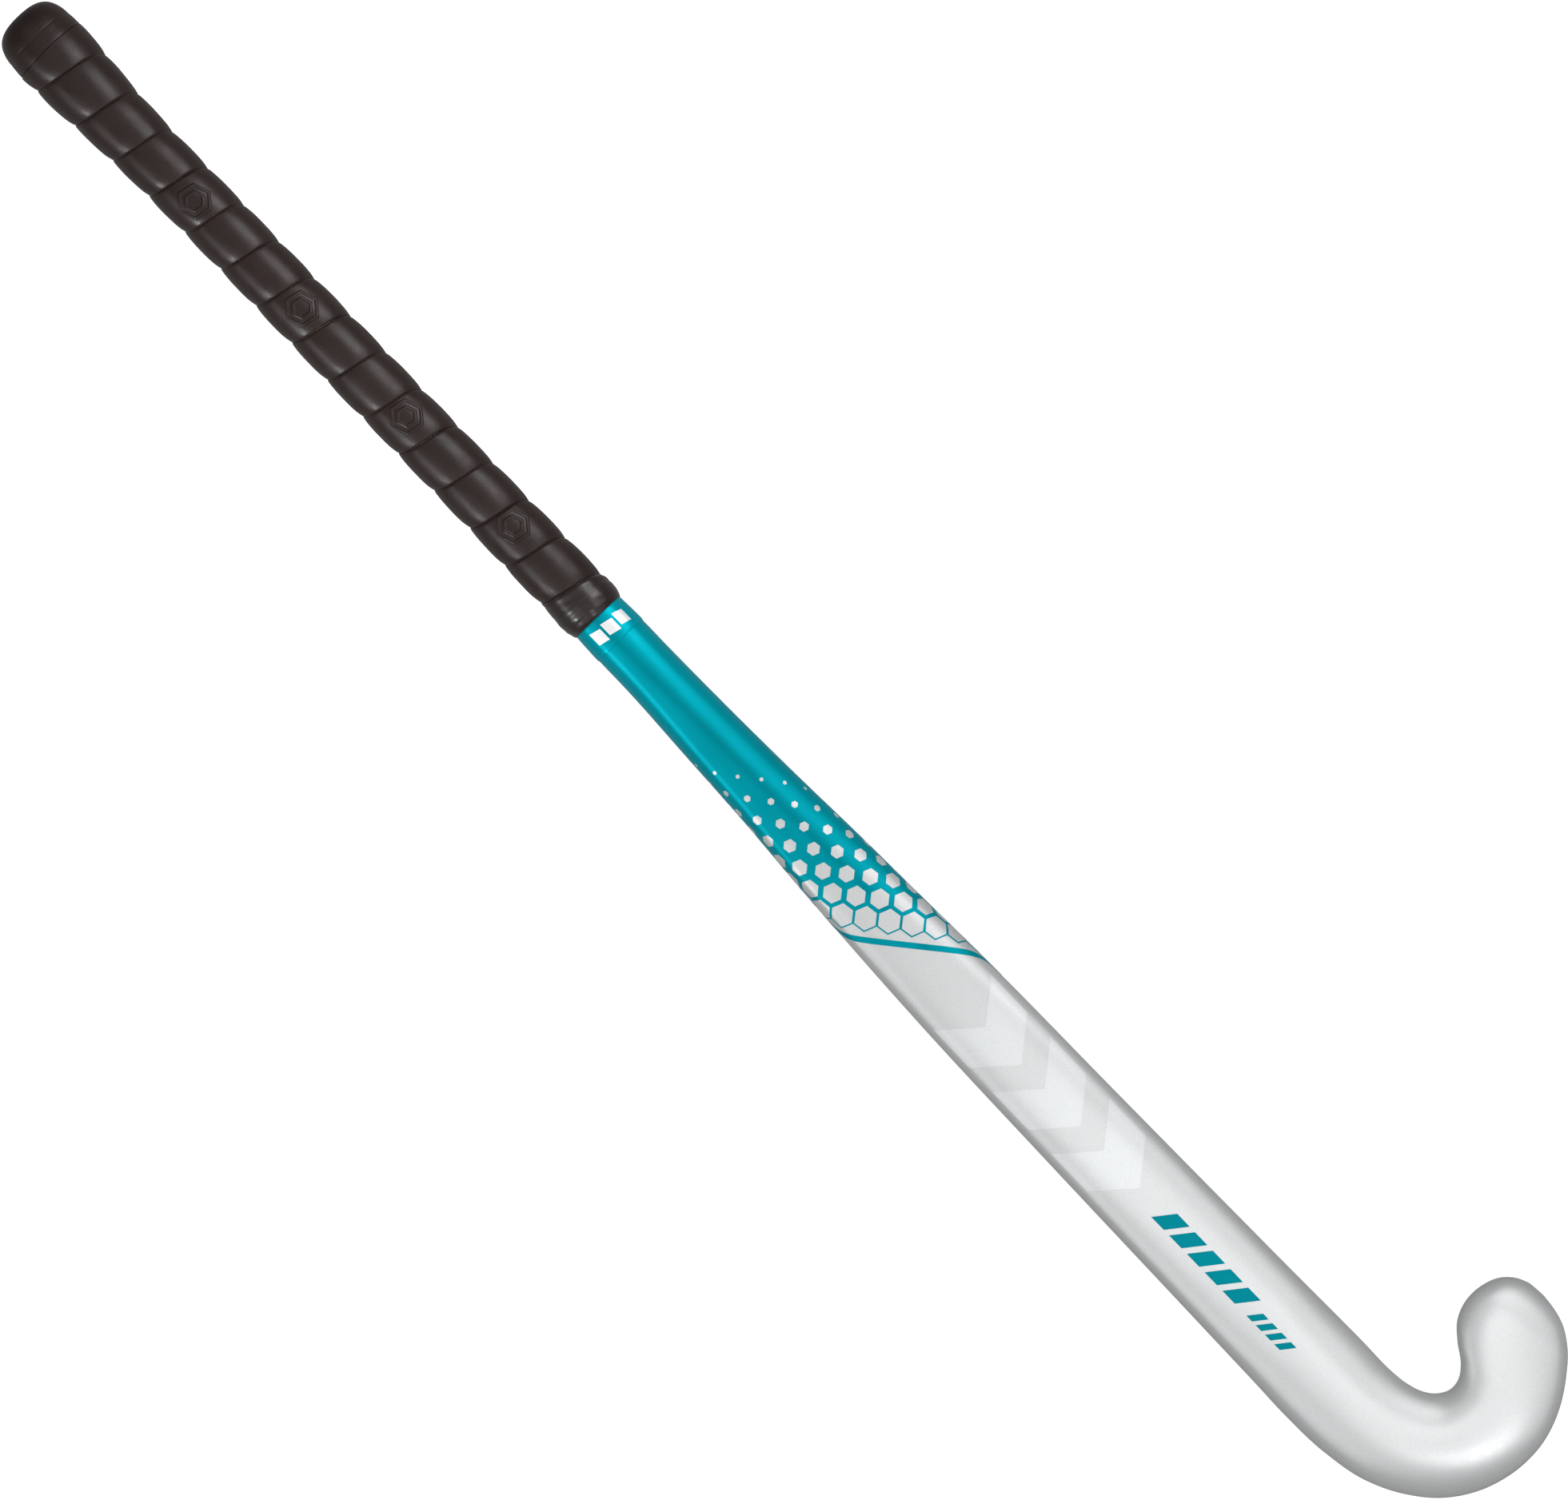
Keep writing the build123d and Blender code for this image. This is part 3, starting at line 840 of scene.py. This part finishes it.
def turn_profile(a):
    """Height of the strip across one turn: barrel shaped, its far edge drawn down."""
    barrel = BARREL_RISE * (1 - abs(2 * a - 1) ** BARREL_POWER)
    start = START_DROP * math.exp(-((a / START_SHARE) ** 2))
    fall = max((a - (1 - FALL_SHARE)) / FALL_SHARE, 0)
    end = FALL_DROP * fall**2 + END_DROP * math.exp(-(((1 - a) / END_SHARE) ** 2))
    return barrel - start - end - STRIP_SINK


def strip_shares():
    """Places across the strip, closer together at its two edges."""
    even = np.linspace(0, 1, ACROSS)
    return even - 0.125 * np.sin(2 * math.pi * even)


def grip_lift(turns, a):
    """Height of the strip over its nominal outline, with the hand-wound unevenness."""
    drift = noise.noise(Vector((turns * 2.1, a * 1.3, 3.1)))
    ripple = noise.noise(Vector((turns * 11.0, a * 3.0, 7.7)))
    crease = noise.noise(Vector((turns * 30.0, a * 5.0, 1.3)))
    near_edge = abs(2 * a - 1) ** 4
    unevenness = DRIFT * drift + RIPPLE * ripple + CREASES * near_edge * crease
    return turn_profile(a) + unevenness


def seam_station(turns):
    """Where the turn's near edge lies, with the hand-wound sway and wander."""
    sway = SEAM_SWAY * math.sin(2 * math.pi * turns)
    wander = WANDER * noise.noise(Vector((turns * 1.9, 0.5, 1.9)))
    return FIRST_SEAM + PITCH * turns + sway + wander


def wound_lift(x, share):
    """Height of the wound strip over its nominal outline at a station and share round."""
    whole = math.floor((x - FIRST_SEAM) / PITCH - share)
    for turns in (whole + 1 + share, whole + share, whole - 1 + share):
        a = (x - seam_station(turns)) / PITCH
        if 0 <= a:
            return grip_lift(turns, min(a, 1))
    return 0.0


def make_grip():
    first = (CAP_END + 0.5 - FIRST_SEAM) / PITCH - 1 + 0.02
    count = int((LAST_TURN - first) * AROUND)
    shares = strip_shares()
    rings = []
    for i in range(count + 1):
        turns = first + (LAST_TURN - first) * i / count
        seam = seam_station(turns)
        low = max((CAP_END + 0.15 - seam) / PITCH, 0)
        high = min((GRIP_END - seam) / PITCH, 1)
        share = turns % 1.0
        ring = []
        for t in shares:
            a = low + (high - low) * t
            ring.append(grip_skin.point(seam + PITCH * a, share, grip_lift(turns, a)))
        for t in (1, 0.66, 0.33, 0):
            x = seam + PITCH * (low + (high - low) * t)
            ring.append(grip_skin.point(x, share, -GRIP_THICK))
        rings.append(np.array(ring)[::-1])
    points, faces = skinned(rings)
    add_piece("grip_strip", points, faces, cushion, ["grip_wrap"], sharp=60)


EMBOSS_AT = [(115.0, -1.0), (182.0, 0.5), (248.6, 0.5), (316.0, 1.0)]
EMBOSS_LOW, EMBOSS_HIGH = -0.3, 0.42
EMBOSS_TURN = math.radians(20)
EMBOSS_RADII = (8.6, 5.4)
EMBOSS_WIDTH = 2.0


class WoundSkin:
    """The wound grip's own surface, read like a Skin."""

    def at(self, x, s, lift=0.0):
        share = 0.5 + s / grip_skin.girth(x)
        return grip_skin.point(x, share, wound_lift(x, share % 1.0) + lift)


def make_emboss():
    """A generic hexagon mark pressed up out of some turns of the grip."""
    marks = Print(WoundSkin(), EMBOSS_LOW, EMBOSS_HIGH)
    for x, s in EMBOSS_AT:
        for radius in EMBOSS_RADII:
            marks.lay_hexagon((x, s), radius, EMBOSS_TURN, hole=radius - EMBOSS_WIDTH,
                              grain=0.8, ridge=6)
    marks.piece("grip_emboss", cushion, "grip_cushion")


# ---- finishing tape at the grip's lower end: (station, width, depth, offset) ----
TAPE = [
    (341.0, 28.2, 30.0, 1.2),
    (352.5, 28.6, 30.4, 1.2),
    (355, 29.1, 30.8, 1.2),
    (358, 29.6, 31.2, 1.2),
    (361, 30.0, 31.5, 1.2),
    (363.5, 30.1, 31.6, 1.2),
    (366, 29.8, 31.2, 1.25),
    (368, 29.0, 30.3, 1.3),
    (369.6, 27.9, 28.9, 1.35),
    (370.6, 26.9, 27.7, 1.4),
]
TAPE_AROUND = 220
TAPE_ROWS = 60
TAPE_GROOVE = 0.5       # how deep the tape starts below the strip's edge
GROOVE_REACH = 0.9
FOLD, PULL = 0.20, 0.06
TAPE_BOND = 0.08        # gap between the tape and what it is stuck to
tape_section = smooth_table(TAPE)


def tape_ring(x, fine=1):
    width, depth, offset = tape_section(x)
    outline = unit_outline(width / 2, depth, GRIP_FLAT, GRIP_CROWNS, fine)
    low = axis_height(x) - depth / 2
    return np.column_stack([np.full(len(outline), x), outline[:, 0] + offset, outline[:, 1] + low])


def strip_edge(share):
    """The station where the strip's last turn ends, at a share of the way round."""
    return min(seam_station(LAST_TURN - 1 + share) + PITCH, GRIP_END) + 0.05


def make_tape():
    end = TAPE[-1][0]
    skin = Skin(tape_ring, TAPE[0][0], end + 1)
    shares = [j / TAPE_AROUND for j in range(TAPE_AROUND)]
    starts = [strip_edge(share) for share in shares]
    rings = []
    for t in np.linspace(0, 1, TAPE_ROWS):
        ring = []
        for share, start in zip(shares, starts):
            x = start + (end - start) * t
            turn = 2 * math.pi * share
            round_place = Vector((0, math.cos(turn), math.sin(turn)))
            fold = noise.noise(round_place * 0.5 + Vector(((x - start) * 0.40, 0, 0)))
            pull = noise.noise(round_place * 0.9 + Vector((x * 0.8, 0, 4.0)))
            fade = min((x - start) / 2, (end - x) / 1.5, 1)
            groove = TAPE_GROOVE * math.exp(-(((x - start) / GROOVE_REACH) ** 2))
            ring.append(skin.point(x, share, fade * (FOLD * fold + PULL * pull) - groove))
        rings.append(np.array(ring))
    low = TAPE_BOND - GRIP_THICK
    for x in (end - 0.3, GRIP_END + 1.5):
        rings.append(np.array([shaft_skin.point(x, share, TAPE_BOND) for share in shares]))
    rings.append(np.array([grip_skin.point(GRIP_END + 1, share, low) for share in shares]))
    rings.append(np.array([grip_skin.point(x, share, low) for x, share in zip(starts, shares)]))
    points, faces = skinned(rings, closed=True)
    add_piece("end_tape", points, faces, vinyl, ["grip_end_tape"], sharp=60)


# ---- butt cap ----
CAP_GROOVES = [(13.4, 0.10, 0.5), (20.0, 0.05, 0.3)]   # (station, depth, half width)
CAP_TIP = 0.3           # station where the rounded end starts
CAP_POWER = 2.35        # how square the rounded end is, 2 being a quarter circle
CAP_INNER = (CAP_FLOOR, 12.0, 17.0, CAP_END)    # stations of the inside's rings
CAP_SIDE_RINGS = 26
CAP_END_RINGS = 30


def make_cap():
    """The cap from the floor of its inside, over its rim and down to its rounded end."""
    rings = [grip_ring(x, CAP_WALL + BOND) for x in CAP_INNER]
    rings.append(grip_ring(CAP_END, 0.5))
    rings.append(grip_ring(CAP_END - 0.25, 0.12))
    for x in np.linspace(CAP_END - 0.7, CAP_DOME + 0.3, CAP_SIDE_RINGS):
        dip = sum(d * math.exp(-(((x - at) / w) ** 2)) for at, d, w in CAP_GROOVES)
        rings.append(grip_ring(x, dip))
    for turn in np.radians(np.linspace(90, 4, CAP_END_RINGS)):
        x = CAP_DOME - (CAP_DOME - CAP_TIP) * math.cos(turn) ** (2 / CAP_POWER)
        loss = CAP_DOME * (1 - math.sin(turn) ** (2 / CAP_POWER))
        ring = grip_ring(max(x, CAP_FLOOR), loss)
        ring[:, 0] = x
        rings.append(ring)
    points, faces = skinned(rings)
    faces = [f[::-1] for f in faces]
    add_piece("butt_cap_moulded", points, faces, rubber, ["butt_cap"], sharp=50)


make_shell()
make_film()
make_stripe()
make_tiles()
make_marks()
make_collar()
make_grip()
make_emboss()
make_tape()
make_cap()

# ---- inner pieces stay as the CAD model has them ----
slots = {part["node"]: part["material_slot"] for part in frame["record"]["subparts"]}
for node, thing in frame["nodes"].items():
    if slots[node] in INNER_STUFF:
        thing.data.materials.clear()
        thing.data.materials.append(INNER_STUFF[slots[node]])


# ---- floor, light and camera ----
FLOOR_SIZE = 8.0
FLOOR_GLOW = 0.78
FLOOR_GAP = 0.0006       # how far the floor lies below the stick, in metres
VIEW_CENTRE = (470.0, 20.0)     # station and offset at the middle of the picture
VIEW_WIDTH = 0.696       # in metres
VIEW_ROLL = math.radians(46.22)
CAMERA_HEIGHT = 4.0
MID_HEIGHT = 0.018       # level at which the view is VIEW_WIDTH wide
SENSOR = 36.0
WORLD = [(-1.0, 0.32), (0.0, 0.24), (0.5, 0.18), (1.0, 0.76)]   # (height, brightness)
# Lights, in metres: name, place, aim, size, power, spread in degrees
LIGHTS = [
    ("top", (0.36, 0.14, 1.30), (0.36, 0, 0), (0.20, 0.20), 0.0155, 22),
    ("streak", (0.92, -0.08, 1.45), (0.45, 0, 0), (0.30, 0.30), 2.50, 180),
    ("head", (0.95, 0.50, 0.80), (0.43, 0, 0), (0.90, 0.80), 1.15, 180),
    ("side_low", (0.12, 0.62, 0.42), (0.12, 0, 0.02), (0.60, 0.40), 0.60, 180),
    ("side_high", (0.12, 0.50, 0.85), (0.12, 0, 0.02), (0.60, 0.40), 1.20, 180),
    ("key", (-0.32, 0.46, 0.38), (-0.32, 0, 0.03), (0.42, 0.42), 0.74, 90),
    ("left", (0.20, -0.65, 0.60), (0.20, 0, 0.02), (1.00, 0.60), 1.40, 180),
    ("fill", (-0.24, -0.50, 0.17), (-0.24, 0, 0.03), (0.60, 0.14), 0.20, 100),
    ("kicker", (0.17, -2.06, 0.69), (-0.29, 0, 0.03), (0.20, 0.20), 0.2, 18),
]


def make_floor():
    """A white sweep under the stick, with only a faint shadow; it throws no light back."""
    mesh = bpy.data.meshes.new("floor")
    half = FLOOR_SIZE / 2
    mesh.from_pydata([(-half, -half, 0), (half, -half, 0), (half, half, 0), (-half, half, 0)],
                     [], [(0, 1, 2, 3)])
    floor = bpy.data.objects.new("floor", mesh)
    floor.location.z = -FLOOR_GAP
    floor.visible_diffuse = False
    floor.visible_glossy = False
    m = Nodes("floor_pale")
    m.link(m.ramp(m.noise(3, 2), [(0.3, (0.56, 0.56, 0.56)), (0.7, (0.58, 0.58, 0.58))]),
           m.shader.inputs["Base Color"])
    m.set(roughness=0.9, specular_ior_level=0.0, emission_color=(1, 1, 1, 1),
          emission_strength=FLOOR_GLOW)
    mesh.materials.append(m.material)
    bpy.context.scene.collection.objects.link(floor)


def add_light(name, place, aim, size, power, spread):
    """A soft box; a small spread keeps its light on the part that it is aimed at."""
    light = bpy.data.lights.new(name, "AREA")
    light.shape = "RECTANGLE"
    light.size, light.size_y = size
    light.energy = power
    light.spread = math.radians(spread)
    lamp = bpy.data.objects.new(name, light)
    lamp.location = place
    lamp.visible_camera = False
    lamp.rotation_euler = (Vector(place) - Vector(aim)).to_track_quat("Z", "Y").to_euler()
    bpy.context.scene.collection.objects.link(lamp)


def make_world(stops):
    """A studio that is light overhead and dark low down, by the height of each direction."""
    world = bpy.data.worlds.new("studio")
    world.use_nodes = True
    tree = world.node_tree
    place = tree.nodes.new("ShaderNodeTexCoord")
    parts = tree.nodes.new("ShaderNodeSeparateXYZ")
    height = tree.nodes.new("ShaderNodeMapRange")
    height.inputs["From Min"].default_value = -1
    ramp = tree.nodes.new("ShaderNodeValToRGB")
    elements = ramp.color_ramp.elements
    while len(elements) < len(stops):
        elements.new(0.5)
    for element, (z, light) in zip(elements, stops):
        element.position = (z + 1) / 2
        element.color = (light, light, light, 1)
    tree.links.new(place.outputs["Generated"], parts.inputs["Vector"])
    tree.links.new(parts.outputs["Z"], height.inputs["Value"])
    tree.links.new(height.outputs["Result"], ramp.inputs["Fac"])
    tree.links.new(ramp.outputs["Color"], tree.nodes["Background"].inputs["Color"])
    bpy.context.scene.world = world


def make_camera():
    camera = bpy.data.cameras.new("camera")
    camera.sensor_width = SENSOR
    camera.lens = SENSOR * CAMERA_HEIGHT / VIEW_WIDTH
    camera.clip_end = 50
    eye = bpy.data.objects.new("camera", camera)
    x = BUTT_X + VIEW_CENTRE[0] * MM
    y = BLADE_Y + VIEW_CENTRE[1] * MM
    centre = (x, y, MID_HEIGHT + CAMERA_HEIGHT)
    eye.matrix_world = Matrix.Translation(centre) @ Matrix.Rotation(VIEW_ROLL, 4, "Z")
    bpy.context.scene.collection.objects.link(eye)
    bpy.context.scene.camera = eye


bpy.context.scene.view_settings.view_transform = "Standard"
make_floor()
make_world(WORLD)
for light in LIGHTS:
    add_light(*light)
make_camera()
